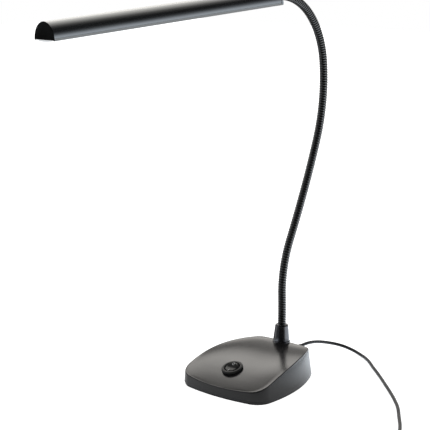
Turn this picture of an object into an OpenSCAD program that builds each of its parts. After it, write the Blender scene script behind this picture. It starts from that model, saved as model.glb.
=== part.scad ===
// Piano lamp: a heavy wedge-shaped base with a round rocker switch, a ribbed
// gooseneck and a long LED light bar, with its thin low-voltage cord and its
// plug-in power supply. Millimetres, +X to the lamp's right, -Y to its front,
// +Z up. The origin is the middle of the base, on the surface it stands on.

/* [Base] */
// Half width of the base at its front corners, before they are rounded
base_front_half = 54.7; // [50:0.1:60]
// Half width of the base at its rear corners, before they are rounded
base_rear_half = 36; // [34:0.5:42]
// Length of the base from front to rear
base_len = 121.5; // [115:0.5:140]
// How far each side of the base bulges out
side_bulge = 9.4; // [6:0.2:11]
// How far the front of the base bulges out
front_bulge = 6.8; // [4:0.2:8]
// How far the rear of the base bulges out
rear_bulge = 0.8; // [0.4:0.2:3]
// How much further in the upper edge lies than the lower one at the rear
rear_flare = 2.6; // [0:0.2:3]
// Length of the rounding at each front corner
front_corner = 11; // [8:1:16]
// Length of the rounding at each rear corner
rear_corner = 6; // [5:1:10]
// Height of the top edge at the front
front_h = 11.8; // [11.6:0.2:14]
// Height of the top edge at the rear
rear_h = 32.2; // [31.6:0.2:36]
// How far the top bulges over a straight line from front to rear
crown = 8.2; // [6:0.2:9]
// Wall of the cover
cover_wall = 2.4; // [2:0.1:3]
// Bevel between the top and the sides of the cover
cover_edge = 1.1; // [0.6:0.1:1.6]
// Thickness of the foam pad under the base
pad_t = 1.5; // [1:0.1:2]
// Thickness of the steel plate that closes the base
plate_t = 1.8; // [1.2:0.1:2.2]
// Diameter of the screws that hold the plate
plate_screw_d = 3; // [2.5:0.1:3.5]

/* [Switch] */
// Distance of the switch in front of the middle of the base
switch_forward = 33.5; // [30:0.5:35]
// Diameter of the switch bezel
bezel_d = 23; // [22:0.5:25]
// Height of the switch bezel above the cover
bezel_h = 2.2; // [1.6:0.1:3]
// Diameter of the switch body behind the cover
switch_body_d = 19.8; // [19.4:0.1:20.4]
// Depth of the switch body behind the cover
switch_depth = 9.5; // [8.5:0.5:10]
// Angle that the rocker tilts to each side of its middle
rocker_tilt = 10; // [8:1:12]

/* [Neck] */
// Outer diameter of the gooseneck, over its ribs
neck_d = 8; // [7:0.5:8.5]
// Depth of the groove between two ribs
rib_depth = 0.7; // [0.4:0.1:0.9]
// Distance from one rib to the next
rib_pitch = 2.75; // [2.6:0.05:4]
// Bore of the gooseneck, for the wires
neck_bore_d = 3; // [2.5:0.1:3.2]
// Distance of the gooseneck's foot in front of the rear of the base
neck_inset = 10.45; // [10.45:0.05:13]
// Height of the conical collar at the gooseneck's foot
collar_h = 20; // [16:1:26]
// Diameter of the collar's flange
collar_foot_d = 19; // [18:0.5:19]
// Diameter of the collar's cone at its lower end
collar_low_d = 16.6; // [15:0.2:17.4]
// Diameter of the collar's cone at its upper end
collar_top_d = 12.4; // [11:0.2:14]
// Greatest turn of each bending joint, to each side
neck_swing = 25; // [15:1:25]

/* [Light bar] */
// Length of the light bar over its end caps
bar_len = 321; // [280:1:360]
// Width of the light bar
bar_w = 25; // [24:0.5:28]
// Height of the light bar's housing, without the lens
bar_h = 16; // [16:0.5:20]
// How far the lens bows out under the housing
lens_bow = 2; // [1:0.1:3]
// Wall of the housing
bar_wall = 1.3; // [1:0.1:1.5]
// Thickness of each end cap
cap_t = 3.5; // [2.5:0.1:5]
// How far the light bar dips towards its free end, in degrees
bar_dip = 2.85; // [0:0.05:6]
// Number of LEDs on the board
led_count = 30; // [20:1:36]

/* [Cord] */
// Diameter of the cord
cord_d = 3.4; // [3:0.1:3.8]
// Height of the cord's exit on the rear of the base
exit_z = 17.6; // [17:0.2:18]
// Length of the strain relief behind the base
relief_len = 27; // [22:1:27]
// Length of the plug-in power supply, without its pins
supply_len = 56; // [50:1:66]
// Width of the power supply
supply_w = 38; // [34:1:46]
// Height of the power supply
supply_h = 28; // [27:1:32]

/* [Hidden] */
$fn = 48;

half_len = base_len / 2;
plate_z = pad_t;
cover_z = pad_t + plate_t;

// ---- the base's outline and its crowned top ----

// Number of steps along each side and round each corner of the outline
side_steps = 7;
corner_steps = 6;

// A point on a bowed line from a to b, which stands out by bulge in its middle
function bowed(a, b, bulge, t) =
    let (d = b - a, out = [d[1], -d[0]] / norm(d))
    a + d * t + out * 4 * bulge * t * (1 - t);

// A rounded corner from a to b round the sharp point c
function rounded(a, c, b) = [
    for (i = [1 : corner_steps - 1])
        let (t = i / corner_steps)
        a * (1 - t) * (1 - t) + c * 1.6 * t * (1 - t) + b * t * t + 0.4 * t * (1 - t) * (a + b) / 2
];

// The right half of the outline, from the front middle to the rear middle
function half_outline(inset) =
    let (
        y0 = -half_len + front_bulge + inset,
        y1 = half_len - rear_bulge - inset,
        fl = [-base_front_half + inset, y0],
        fr = [base_front_half - inset, y0],
        rr = [base_rear_half - inset, y1],
        rl = [-base_rear_half + inset, y1],
        ft = 1 - front_corner / norm(fr - fl),
        st0 = front_corner / norm(rr - fr),
        st1 = 1 - rear_corner / norm(rr - fr),
        rt = rear_corner / norm(rl - rr)
    )
    concat(
        [for (i = [0 : side_steps]) bowed(fl, fr, front_bulge, 0.5 + (ft - 0.5) * i / side_steps)],
        rounded(bowed(fl, fr, front_bulge, ft), fr, bowed(fr, rr, side_bulge, st0)),
        [for (i = [0 : 2 * side_steps]) bowed(fr, rr, side_bulge, st0 + (st1 - st0) * i / side_steps / 2)],
        rounded(bowed(fr, rr, side_bulge, st1), rr, bowed(rr, rl, rear_bulge, rt)),
        [for (i = [0 : side_steps]) bowed(rr, rl, rear_bulge, rt + (0.5 - rt) * i / side_steps)]
    );

// The whole outline, counterclockwise from the front middle
function outline(inset) =
    let (h = half_outline(inset), n = len(h))
    concat(h, [for (i = [n - 2 : -1 : 1]) [-h[i][0], h[i][1]]]);

// The top's height: a line from front to rear and a crown that is fuller towards the front
crown_skew = 1.3;
function along_top(y) = (y + half_len) / base_len;
function top_z(y) =
    let (u = along_top(y))
    front_h + (rear_h - front_h) * u + 4 * u * (1 - u) * (crown + crown_skew * (1 - 2 * u));
function top_slope(y) =
    let (u = along_top(y), v = 1 - 2 * u)
    atan((rear_h - front_h + 4 * (v * (crown + crown_skew * v) - 2 * crown_skew * u * (1 - u))) / base_len);

// How far the sides lean in at y, up to their upper edge
function flare(y) = rear_flare * max(0, min(1, (top_z(y) - front_h) / (rear_h - front_h)));

// A closed body with the base's outline, from z0 up to a crown that lies
// drop under the cover's top, with a bevelled upper edge
module base_form(inset, z0, drop, edge) {
    low = outline(inset);
    deep = outline(inset + 10);
    n = len(low);
    m = len(half_outline(inset));
    mid = [for (i = [0 : n - 1]) low[i] + (deep[i] - low[i]) * flare(low[i][1]) / 10];
    high = [for (i = [0 : n - 1]) low[i] + (deep[i] - low[i]) * (flare(low[i][1]) + edge) / 10];
    points = concat(
        [for (p = low) [p[0], p[1], z0]],
        [for (p = mid) [p[0], p[1], top_z(p[1]) - drop - edge]],
        [for (p = high) [p[0], p[1], top_z(p[1]) - drop]]
    );
    walls = [for (r = [0, 1]) for (i = [0 : n - 1]) for (k = [0, 1])
        let (j = (i + 1) % n, a = r * n + i, b = r * n + j)
        k == 0 ? [a, a + n, b + n] : [a, b + n, b]];
    top = [for (i = [0 : m - 2]) for (k = [0, 1])
        let (l0 = (n - i) % n, l1 = (n - i - 1) % n, t = 2 * n)
        if (k == 0 ? i < m - 2 : i > 0)
        k == 0 ? [t + l1, t + i + 1, t + i] : [t + l0, t + l1, t + i]];
    bottom = [for (i = [0 : m - 2]) for (k = [0, 1])
        let (l0 = (n - i) % n, l1 = (n - i - 1) % n)
        if (k == 0 ? i < m - 2 : i > 0)
        k == 0 ? [i, i + 1, l1] : [i, l1, l0]];
    polyhedron(points, concat(walls, top, bottom), convexity = 6);
}

// A place on the cover's top, square to it
module on_top(y) translate([0, y, top_z(y)]) rotate([top_slope(y), 0, 0]) children();

switch_y = -switch_forward;
neck_y = half_len - neck_inset;

// The middle of the rear wall at height z, and how far it leans in
rear_lean = atan(rear_flare / (rear_h - cover_edge - cover_z));
function rear_wall_y(z) = half_len - (z - cover_z) * tan(rear_lean);
// A place on the rear wall, square to it, its Z outwards
module on_rear(z) translate([0, rear_wall_y(z), z]) rotate([rear_lean - 90, 0, 0]) children();

// ---- base ----

boss_r = 4;
boss_at = [
    for (side = [-1, 1]) each [
        [side * (base_front_half - 14), -half_len + 18],
        [side * (base_rear_half - 8), half_len - 18]
    ]
];
weight_screw_at = [for (side = [-1, 1]) [side * (base_rear_half - 14), 6]];
weight_screw_d = 4;
screw_play = 0.1;
head_h = 1.3;

relief_r = 3;
relief_flange_r = 4.4;
relief_play = 0.15;
body_play = 0.15;
ferrule_r = 4.1;
ferrule_play = 0.1;

module base_cover() color("#3b3b3d") difference() {
    union() {
        difference() {
            base_form(0, cover_z, 0, cover_edge);
            base_form(cover_wall, cover_z - 1, cover_wall, cover_edge / 2);
        }
        intersection() {
            base_form(cover_wall / 2, cover_z, cover_wall / 2, cover_edge / 2);
            for (p = boss_at) translate([p[0], p[1], cover_z]) cylinder(r = boss_r, h = rear_h);
        }
    }
    for (p = boss_at) translate([p[0], p[1], cover_z - 1])
        cylinder(d = plate_screw_d + screw_play, h = 9);
    on_top(switch_y) translate([0, 0, -2 * cover_wall])
        cylinder(d = switch_body_d + 2 * body_play, h = 4 * cover_wall);
    on_top(neck_y) translate([0, 0, -2 * cover_wall])
        cylinder(r = ferrule_r + ferrule_play, h = 4 * cover_wall);
    // the flat seat of the neck's washer and nut
    on_top(neck_y) translate([0, 0, under_cover - seat_depth])
        cylinder(r = washer_r + seat_play, h = seat_depth + 0.05);
    on_rear(exit_z) translate([0, 0, -cover_wall - 1])
        cylinder(r = relief_r + relief_play, h = cover_wall + 2);
}

weight_gap = 3.6;
weight_drop = 4;
channel_half = 5;
channel_floor = 5;

module base_weight() color("#2e2e30") difference() {
    base_form(cover_wall + weight_gap, cover_z, cover_wall + weight_drop, 1.5);
    for (p = boss_at) translate([p[0], p[1], 0]) cylinder(r = boss_r + 1, h = 2 * rear_h);
    on_top(switch_y) translate([0, 0, -2 * rear_h])
        cylinder(d = switch_body_d + 6, h = 3 * rear_h);
    on_top(neck_y) translate([0, 0, -2 * rear_h]) cylinder(r = 11, h = 3 * rear_h);
    translate([-channel_half, switch_y, cover_z + channel_floor])
        cube([2 * channel_half, neck_y - switch_y, rear_h]);
    for (p = weight_screw_at) translate([p[0], p[1], 0])
        cylinder(d = weight_screw_d + screw_play, h = cover_z + 8);
}

module bottom_plate() color("#8a8c90") difference() {
    translate([0, 0, plate_z]) linear_extrude(plate_t) polygon(outline(0.5));
    for (p = boss_at) countersink(p, plate_screw_d, 0.2);
    for (p = weight_screw_at) countersink(p, weight_screw_d, 0.2);
}

// The hole of a countersunk screw in the plate, wider than the screw by play
module countersink(p, d, play) {
    translate([p[0], p[1], plate_z - 1]) cylinder(d = d + play, h = plate_t + 2);
    translate([p[0], p[1], plate_z - 0.01])
        cylinder(d1 = 2 * d - 0.4 + play, d2 = d + play, h = head_h + 0.01);
}

// A countersunk screw whose head lies flush with the plate's underside
module countersunk_screw(p, d, length) {
    translate([p[0], p[1], plate_z + 0.05]) difference() {
        union() {
            cylinder(d1 = 2 * d - 0.4, d2 = d, h = head_h);
            cylinder(d = d, h = length);
        }
        for (a = [0, 90]) rotate(a) translate([-d / 2, -0.3, -0.1]) cube([d, 0.6, 0.8]);
    }
}

module base_pad() color("#4a4a4c") linear_extrude(pad_t) polygon(outline(1.2));
module plate_screws() color("#b0b2b6") for (p = boss_at) countersunk_screw(p, plate_screw_d, 8);
module weight_screws() color("#b0b2b6")
    for (p = weight_screw_at) countersunk_screw(p, weight_screw_d, 9);

// ---- switch ----

rocker_hole_r = switch_body_d / 2 - 0.9;
rocker_r = rocker_hole_r - 0.2;
pivot_z = -0.5;
pivot_r = 1.2;
pivot_play = 0.05;
rocker_low = 5.4;
rocker_mid = (bezel_h + 0.3 - pivot_z) / cos(rocker_tilt);

module switch_housing() color("#1c1c1e") on_top(switch_y) difference() {
    rotate_extrude() polygon([
        [0, -switch_depth], [switch_body_d / 2, -switch_depth], [switch_body_d / 2, 0],
        [bezel_d / 2, 0], [bezel_d / 2, bezel_h * 0.45], [bezel_d / 2 - 0.9, bezel_h],
        [rocker_hole_r + 0.5, bezel_h], [rocker_hole_r, bezel_h - 0.5],
        [rocker_hole_r, pivot_z - rocker_low - 1.8], [0, pivot_z - rocker_low - 1.8]
    ]);
    translate([-switch_body_d, 0, pivot_z]) rotate([0, 90, 0])
        cylinder(r = pivot_r + pivot_play, h = 2 * switch_body_d);
}

module switch_rocker() color("#161618") on_top(switch_y)
    translate([0, 0, pivot_z]) rotate([rocker_tilt, 0, 0]) {
        intersection() {
            sphere(r = rocker_r);
            rotate([90, 0, 90]) linear_extrude(3 * rocker_r, center = true) polygon([
                [-2 * rocker_r, -rocker_low], [2 * rocker_r, -rocker_low],
                [2 * rocker_r, rocker_mid + 2 * rocker_r * tan(rocker_tilt)], [0, rocker_mid],
                [-2 * rocker_r, rocker_mid + 2 * rocker_r * tan(rocker_tilt)]
            ]);
        }
        rotate([0, 90, 0]) cylinder(r = pivot_r, h = switch_body_d - 0.4, center = true);
    }

tab_w = 4.8;
tab_t = 0.8;
tab_drop = 3.6;
tab_reach = 6;
tab_x = 4;

module switch_terminals() color("#c9b37a") on_top(switch_y)
    for (side = [-1, 1]) translate([side * tab_x - tab_w / 2, -tab_t / 2, -switch_depth - tab_drop]) {
        cube([tab_w, tab_t, tab_drop]);
        cube([tab_w, tab_reach, tab_t]);
    }

// ---- neck: its foot ----

neck_seat = 6;
collar_flange = 1.5;
washer_t = 1;
washer_r = 6.2;
nut_t = 3.4;
nut_af = 10.6;
seat_depth = 6;
seat_play = 0.4;
under_cover = -(cover_wall + 0.1);
ferrule_low = under_cover - washer_t - nut_t - 0.8;
wire_bore_r = neck_bore_d / 2 + 0.4;

module neck_collar() color("#242427") on_top(neck_y) rotate_extrude() polygon([
    [ferrule_r + ferrule_play, 0], [collar_foot_d / 2, 0], [collar_foot_d / 2, collar_flange * 0.6],
    [collar_foot_d / 2 - 0.5, collar_flange], [collar_low_d / 2, collar_flange + 0.4],
    [collar_top_d / 2, collar_h - 1], [collar_top_d / 2 - 1, collar_h],
    [neck_d / 2 + 0.3, collar_h], [neck_d / 2 + 0.3, neck_seat],
    [ferrule_r + ferrule_play, neck_seat]
]);

module neck_foot_ferrule() color("#b8bac0") on_top(neck_y) difference() {
    translate([0, 0, ferrule_low]) cylinder(r = ferrule_r, h = neck_seat - ferrule_low);
    translate([0, 0, ferrule_low - 1]) cylinder(r = wire_bore_r, h = neck_seat - ferrule_low + 2);
}

module neck_washer() color("#b8bac0") on_top(neck_y)
    translate([0, 0, under_cover - washer_t]) difference() {
        cylinder(r = washer_r, h = washer_t);
        translate([0, 0, -1]) cylinder(r = ferrule_r + ferrule_play, h = washer_t + 2);
    }

module neck_nut() color("#b8bac0") on_top(neck_y)
    translate([0, 0, under_cover - washer_t - nut_t]) difference() {
        cylinder(d = nut_af / cos(30), h = nut_t, $fn = 6);
        translate([0, 0, -1]) cylinder(r = ferrule_r + ferrule_play / 2, h = nut_t + 2);
    }

// ---- neck: its path, in the middle plane of the lamp ----

// The gooseneck as it is bent in use: [length, turn towards the rear] of each bend.
// The last bend turns it on to the light bar, which dips by bar_dip.
first_bends = [
    [20.5, 0], [32, -4.3], [63, 29.1], [54.5, -2.5], [60, -4.1], [84, -26.4], [52, -32.9]
];
last_bend_len = 72;
neck_start_angle = -top_slope(neck_y);
function turned(n) = n == 0 ? 0 : first_bends[n - 1][1] + turned(n - 1);
last_turn = -(90 + bar_dip) - neck_start_angle - turned(len(first_bends));
neck_bends = concat(first_bends, [[last_bend_len, last_turn]]);

// Where a stretch of length s leads from [y, z, angle], on an arc that turns by rate a mm
function along(k, s, rate) =
    let (a = k[2], r = rate * PI / 180)
    abs(rate) < 0.0001
        ? [k[0] + s * sin(a), k[1] + s * cos(a), a]
        : [k[0] + (cos(a) - cos(a + rate * s)) / r, k[1] + (sin(a + rate * s) - sin(a)) / r, a + rate * s];
function neck_knot(n) = n == 0
    ? [neck_y, top_z(neck_y), neck_start_angle]
    : along(neck_knot(n - 1), neck_bends[n - 1][0], neck_bends[n - 1][1] / neck_bends[n - 1][0]);
function len_to(n) = n == 0 ? 0 : neck_bends[n - 1][0] + len_to(n - 1);
neck_knots = [for (n = [0 : len(neck_bends)]) neck_knot(n)];
neck_lens = [for (n = [0 : len(neck_bends)]) len_to(n)];
neck_len = neck_lens[len(neck_bends)];

// The neck's centre and direction at length s from the foot of the collar: [y, z, angle]
function neck_at(s) =
    let (n = max([for (i = [0 : len(neck_bends) - 1]) if (i == 0 || neck_lens[i] <= s) i]))
    along(neck_knots[n], s - neck_lens[n], neck_bends[n][1] / neck_bends[n][0]);

// A ring of points round the neck's path at s
sides = 8;
function neck_ring(s, r) =
    let (k = neck_at(s))
    [for (j = [0 : sides - 1]) let (u = r * cos(360 * j / sides), v = r * sin(360 * j / sides))
        [u, k[0] + v * cos(k[2]), k[1] - v * sin(k[2])]];

// Triangles between rows of n points each, from row first to row last, turned over by flip
function skin(first, last, n, flip) = [
    for (i = [first : last - 1]) for (j = [0 : n - 1]) for (k = [0, 1])
        let (a = i * n + j, b = i * n + (j + 1) % n, c = a + n, d = b + n)
        flip ? (k == 0 ? [a, b, d] : [a, d, c]) : (k == 0 ? [a, c, d] : [a, d, b])
];
// Triangles between ring r0 and ring r1 of n points each, as a flat end
function annulus(r0, r1, n, flip) = [
    for (j = [0 : n - 1]) for (k = [0, 1])
        let (a = r0 * n + j, b = r0 * n + (j + 1) % n, c = r1 * n + j, d = r1 * n + (j + 1) % n)
        flip ? (k == 0 ? [a, c, d] : [a, d, b]) : (k == 0 ? [a, b, d] : [a, d, c])
];

// The neck bends at its splits, where each part tapers to its core
neck_splits = [62, 130, 198, 266, 334];
core_r = neck_bore_d / 2 + 0.4;
split_gap = core_r * tan(neck_swing / 2) + 0.04;
bore_step = 9;

// One ribbed length of the neck from a to b. An end at a split tapers to the core.
module ribbed(a, b, split_a, split_b) {
    ribs = max(1, round((b - a) / rib_pitch));
    pitch = (b - a) / ribs;
    r1 = neck_d / 2;
    r0 = neck_d / 2 - rib_depth;
    a1 = a + (split_a ? split_gap : 0);
    b1 = b - (split_b ? split_gap : 0);
    outer = concat(
        [[a1, split_a ? core_r : r0]],
        [for (i = [0 : ribs - 1]) each (i == 0
            ? [[a + pitch / 2, r1]]
            : [[a + i * pitch, r0], [a + (i + 0.5) * pitch, r1]])],
        [[b1, split_b ? core_r : r0]]
    );
    steps = max(2, ceil((b1 - a1) / bore_step));
    inner = [for (i = [0 : steps]) a1 + (b1 - a1) * i / steps];
    no = len(outer);
    ni = len(inner);
    points = concat(
        [for (k = outer) each neck_ring(k[0], k[1])],
        [for (s = inner) each neck_ring(s, neck_bore_d / 2)]
    );
    polyhedron(points, concat(
        skin(0, no - 1, sides, false), skin(no, no + ni - 1, sides, true),
        annulus(0, no, sides, false), annulus(no - 1, no + ni - 1, sides, true)
    ), convexity = 10);
}

neck_color = "#2a2a2a";
module gooseneck_foot() color(neck_color) ribbed(neck_seat, neck_splits[0], false, true);
module gooseneck_lower() color(neck_color) ribbed(neck_splits[0], neck_splits[1], true, true);
module gooseneck_middle() color(neck_color) ribbed(neck_splits[1], neck_splits[2], true, true);
module gooseneck_upper() color(neck_color) ribbed(neck_splits[2], neck_splits[3], true, true);
module gooseneck_arch() color(neck_color) ribbed(neck_splits[3], neck_splits[4], true, true);
module gooseneck_end() color(neck_color) ribbed(neck_splits[4], neck_len, true, false);

// ---- light bar: its frame has the neck's end at its origin and -Y along the bar ----

neck_tip = neck_knots[len(neck_bends)];
module at_bar() translate([0, neck_tip[0], neck_tip[1]]) rotate([bar_dip, 0, 0]) children();
// What is drawn flat, x to the right and y up, runs from y0 along the bar
module along_bar(y0, length) translate([0, -y0, 0]) rotate([90, 0, 0]) linear_extrude(length) children();

axis_h = 7;
ferrule_show = 4;
bar_ferrule_r = 3.9;
bar_nut_af = 11;
bar_nut_t = 3;
bar_y0 = ferrule_show;
housing_y0 = bar_y0 + cap_t;
housing_len = bar_len - 2 * cap_t;
shelf_low = 4.2;
shelf_t = 1.2;
arc_steps = 24;
board_t = 1.2;
board_w = 18;
board_y0 = housing_y0 + 16.5;
board_len = housing_len - 26;
ledge_h = 1.5;
ledge_t = 0.8;
lens_t = 1.2;

// Half an ellipse over the bar's lower edge
module dome(half_w, h) translate([0, -axis_h])
    polygon([for (i = [0 : arc_steps]) [half_w * cos(180 * i / arc_steps), h * sin(180 * i / arc_steps)]]);
// A shallow arc under the bar's lower edge
module bow(half_w, depth) translate([0, -axis_h]) polygon([
    for (i = [0 : arc_steps / 2]) let (t = 2 * i / (arc_steps / 2) - 1) [half_w * t, -depth * (1 - t * t)]]);

module light_housing() color("#4a4b4e") at_bar() difference() {
    along_bar(housing_y0, housing_len) {
        difference() {
            dome(bar_w / 2, bar_h);
            dome(bar_w / 2 - bar_wall, bar_h - bar_wall);
        }
        intersection() {
            dome(bar_w / 2 - bar_wall / 2, bar_h);
            translate([-bar_w / 2, shelf_low - axis_h]) square([bar_w, shelf_t]);
        }
        for (side = [-1, 1]) translate([side * (bar_w / 2 - bar_wall - 0.5) - 0.75, ledge_h - axis_h])
            square([1.5, ledge_t]);
    }
    along_bar(housing_y0 - 1, 17) circle(r = bar_nut_af / 2 / cos(30) + 0.8);
    for (y = board_screw_y) translate([0, -y, -axis_h]) cylinder(r = board_screw_r + 0.1, h = bar_h / 2);
}

// The outline of an end cap: the housing's dome and the lens's bow under it
module cap_outline() {
    dome(bar_w / 2, bar_h);
    bow(bar_w / 2, lens_bow + 0.1);
}

// The tongue of an end cap, which fits in the housing over the shelf
module cap_tongue(y0, length) along_bar(y0, length) difference() {
    intersection() {
        dome(bar_w / 2 - bar_wall - 0.15, bar_h - bar_wall - 0.15);
        translate([-bar_w / 2, shelf_low + shelf_t + 0.15 - axis_h]) square([bar_w, bar_h]);
    }
    intersection() {
        dome(bar_w / 2 - bar_wall - 1.6, bar_h - bar_wall - 1.6);
        translate([-bar_w / 2, shelf_low + shelf_t + 1.5 - axis_h]) square([bar_w, bar_h]);
    }
}

module front_cap() color("#0f0f10") at_bar() {
    along_bar(housing_y0 + housing_len, cap_t) cap_outline();
    cap_tongue(housing_y0 + housing_len - 6, 6);
}

module rear_cap() color("#3c3e42") at_bar() difference() {
    union() {
        along_bar(bar_y0, cap_t) cap_outline();
        cap_tongue(housing_y0, 6);
    }
    along_bar(bar_y0 - 1, cap_t + 2) circle(r = bar_ferrule_r + ferrule_play);
    along_bar(housing_y0, 8) circle(r = bar_nut_af / 2 / cos(30) + 0.4);
}

module neck_head_ferrule() color("#b8bac0") at_bar() difference() {
    union() {
        along_bar(0, ferrule_show) circle(r = neck_d / 2 + 0.2);
        along_bar(ferrule_show, cap_t + bar_nut_t + 3) circle(r = bar_ferrule_r);
    }
    along_bar(-1, 30) circle(r = wire_bore_r);
}

module head_nut() color("#b8bac0") at_bar() along_bar(housing_y0 + 0.1, bar_nut_t) difference() {
    rotate(0) circle(d = bar_nut_af / cos(30), $fn = 6);
    circle(r = bar_ferrule_r + ferrule_play / 2);
}

board_screw_r = 1.1;
board_screw_y = [for (i = [0 : 2]) board_y0 + 6 + (board_len - 12) * i / 2];
led_size = [2.8, 3.5, 0.75];
led_pitch = (board_len - 24) / (led_count - 1);

module led_board() color("#e8e8e4") at_bar() difference() {
    along_bar(board_y0, board_len)
        translate([-board_w / 2, shelf_low - board_t - axis_h]) square([board_w, board_t]);
    for (y = board_screw_y) translate([0, -y, -axis_h]) cylinder(r = board_screw_r + 0.1, h = bar_h / 2);
}

module leds() color("#f2dd88") at_bar() for (i = [0 : led_count - 1])
    translate([0, -(board_y0 + 12 + i * led_pitch), shelf_low - board_t - axis_h - led_size[2] / 2])
        cube(led_size, center = true);

lens_half = bar_w / 2 - bar_wall - 0.15;
module lens() color("#e9edf0") at_bar() along_bar(housing_y0 + 0.1, housing_len - 0.2) difference() {
    union() {
        bow(lens_half, lens_bow);
        translate([-lens_half, -axis_h - 0.01]) square([2 * lens_half, ledge_h - 0.14]);
    }
    intersection() {
        union() {
            translate([0, lens_t]) bow(lens_half, lens_bow);
            translate([-lens_half, lens_t - axis_h - 0.01]) square([2 * lens_half, bar_h]);
        }
        translate([lens_t - lens_half, -2 * bar_h]) square([2 * (lens_half - lens_t), 4 * bar_h]);
    }
}

module board_screws() color("#c8c8cc") at_bar() for (y = board_screw_y)
    translate([0, -y, shelf_low - board_t - axis_h]) {
        cylinder(r = board_screw_r, h = board_t + shelf_t + 1.5);
        translate([0, 0, -0.9]) cylinder(r = 2.1, h = 0.9);
    }

// ---- swept wires and cord ----

function unit(v) = v / norm(v);
// A ring of n points of radius r round p, square to direction t, which isn't upright
function ring_at(p, t, r, n) =
    let (side = unit(cross(t, [0, 0, 1])), up = cross(t, side))
    [for (j = [0 : n - 1]) p + r * (cos(360 * (j + 0.5) / n) * side + sin(360 * (j + 0.5) / n) * up)];
// The direction at point i of a path, with given directions at its ends
function path_dir(p, i, first, last) =
    i == 0 ? first : i == len(p) - 1 ? last : unit(p[i + 1] - p[i - 1]);
// A closed tube of radius r round path p
module tube(p, r, n, first, last) {
    m = len(p);
    rings = [for (i = [0 : m - 1]) each ring_at(p[i], path_dir(p, i, first, last), r, n)];
    polyhedron(
        concat(rings, [p[0], p[m - 1]]),
        concat(
            skin(0, m - 1, n, false),
            [for (j = [0 : n - 1]) [m * n, j, (j + 1) % n]],
            [for (j = [0 : n - 1]) [m * n + 1, (m - 1) * n + (j + 1) % n, (m - 1) * n + j]]
        ),
        convexity = 10
    );
}
// A smooth path through points p, with k steps from each to the next
function smooth(p, k) = [
    for (i = [0 : len(p) - 2]) for (j = [0 : i == len(p) - 2 ? k : k - 1])
        let (
            t = j / k,
            a = p[max(i - 1, 0)], b = p[i], c = p[i + 1], d = p[min(i + 2, len(p) - 1)],
            m0 = (c - a) / 2, m1 = (d - b) / 2
        )
        b * (2 * t * t * t - 3 * t * t + 1) + m0 * (t * t * t - 2 * t * t + t)
        + c * (3 * t * t - 2 * t * t * t) + m1 * (t * t * t - t * t)
];

lead_r = 0.7;
board_under = shelf_low - board_t - axis_h;
module head_leads() color("#d8d8d8") at_bar() for (side = [-1, 1]) {
    y0 = ferrule_show + cap_t + bar_nut_t + 3;
    p = [
        [side * 1.1, -y0, 0], [side * 1.3, -y0 - 2.4, -0.5], [side * 2, -y0 - 4.8, -2.6],
        [side * 2.6, -y0 - 7.2, board_under - lead_r - 0.5],
        [side * 3, -board_y0 - 4, board_under - lead_r - 0.15],
        [side * 3, -board_y0 - 8, board_under - lead_r - 0.15]
    ];
    tube(smooth(p, 3), lead_r, 6, [0, -1, 0], [0, -1, 0]);
}

lead_z = cover_z + channel_floor + 3;
module switch_leads() color("#a0522d") {
    tab_z = top_z(switch_y) - (switch_depth + tab_drop) + 1.8;
    cord_in = rear_wall_y(exit_z) - cover_wall - 1.7;
    for (side = [-1, 1]) {
        start = side < 0
            ? [-1.6, cord_in - 0.1, exit_z]
            : [1, neck_y - 3, top_z(neck_y) + ferrule_low - 2.4];
        tube(smooth([
            start, [side * 2, neck_y - 6, (start[2] + lead_z) / 2 - 1],
            [side * 2.6, neck_y - 14, lead_z], [side * 3, 12, lead_z],
            [side * 3.4, switch_y + 20, lead_z - 0.6], [side * tab_x, switch_y + tab_reach + 3.4, tab_z]
        ], 4), lead_r, 6, side < 0 ? [0, -1, 0] : unit([0, -1, -0.6]), [0, -1, 0]);
    }
}

// ---- cord ----

module cord_relief() color("#1b1b1d") on_rear(exit_z) {
    translate([0, 0, -cover_wall - 1.8]) cylinder(r = relief_flange_r, h = 1.5);
    translate([0, 0, -cover_wall - 0.4]) cylinder(r = relief_r, h = cover_wall + 0.6);
    translate([0, 0, 0.1]) cylinder(r = relief_flange_r, h = 1.4);
    cylinder(r1 = relief_r + 0.5, r2 = cord_d / 2 + 0.6, h = relief_len);
}

floor_z = cord_d / 2;
coil_lift = 1.2;
coil_z = floor_z + coil_lift;

// The cord's route from behind the base round to its right and towards the front
cord_start = [
    0, rear_wall_y(exit_z) + relief_len * cos(rear_lean), exit_z + relief_len * sin(rear_lean)
];
route = concat([
    cord_start, [0, 97, 20.6], [0, 108, 20], [0.3, 117.5, 18.3],
    [1, 127.5, 15.6], [3, 137, 12.4], [7.7, 145.7, 9.2], [15.7, 150.3, 6.5], [26.5, 151, 4.2],
    [38.5, 147.9, 2.5]
], [
    for (q = [[48.6, 143], [60.6, 133.6], [73.6, 121.4], [87.6, 108.8], [101.6, 95.8], [115.1, 82.8],
        [129.1, 69.3], [143.6, 54.8], [152.2, 45.6], [160.8, 36.1], [169.8, 24.5], [178, 12.8],
        [186.5, 1], [194.5, -10.5], [201.8, -22.5], [208.4, -35]]) [q[0], q[1], floor_z]
], [[214.2, -48, floor_z + 0.2], [219.4, -60.2, floor_z + 0.7]]);

// The rest of the cord, put away in a coil of four layers that spirals in and out
coil_centre = [250, -72];
coil_angle = 203.6;
coil_mid_r = 5.5 * cord_d;
coil_step = cord_d + 0.9;
coil_in_turns = 2.5;
coil_climb = 0.5;
coil_turns = 11;
coil_out_r = coil_mid_r + coil_step * coil_in_turns / 2;
coil_in_r = coil_mid_r - coil_step * coil_in_turns / 2;
coil_layer = coil_in_turns + coil_climb;
loop_rings = 24;

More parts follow.
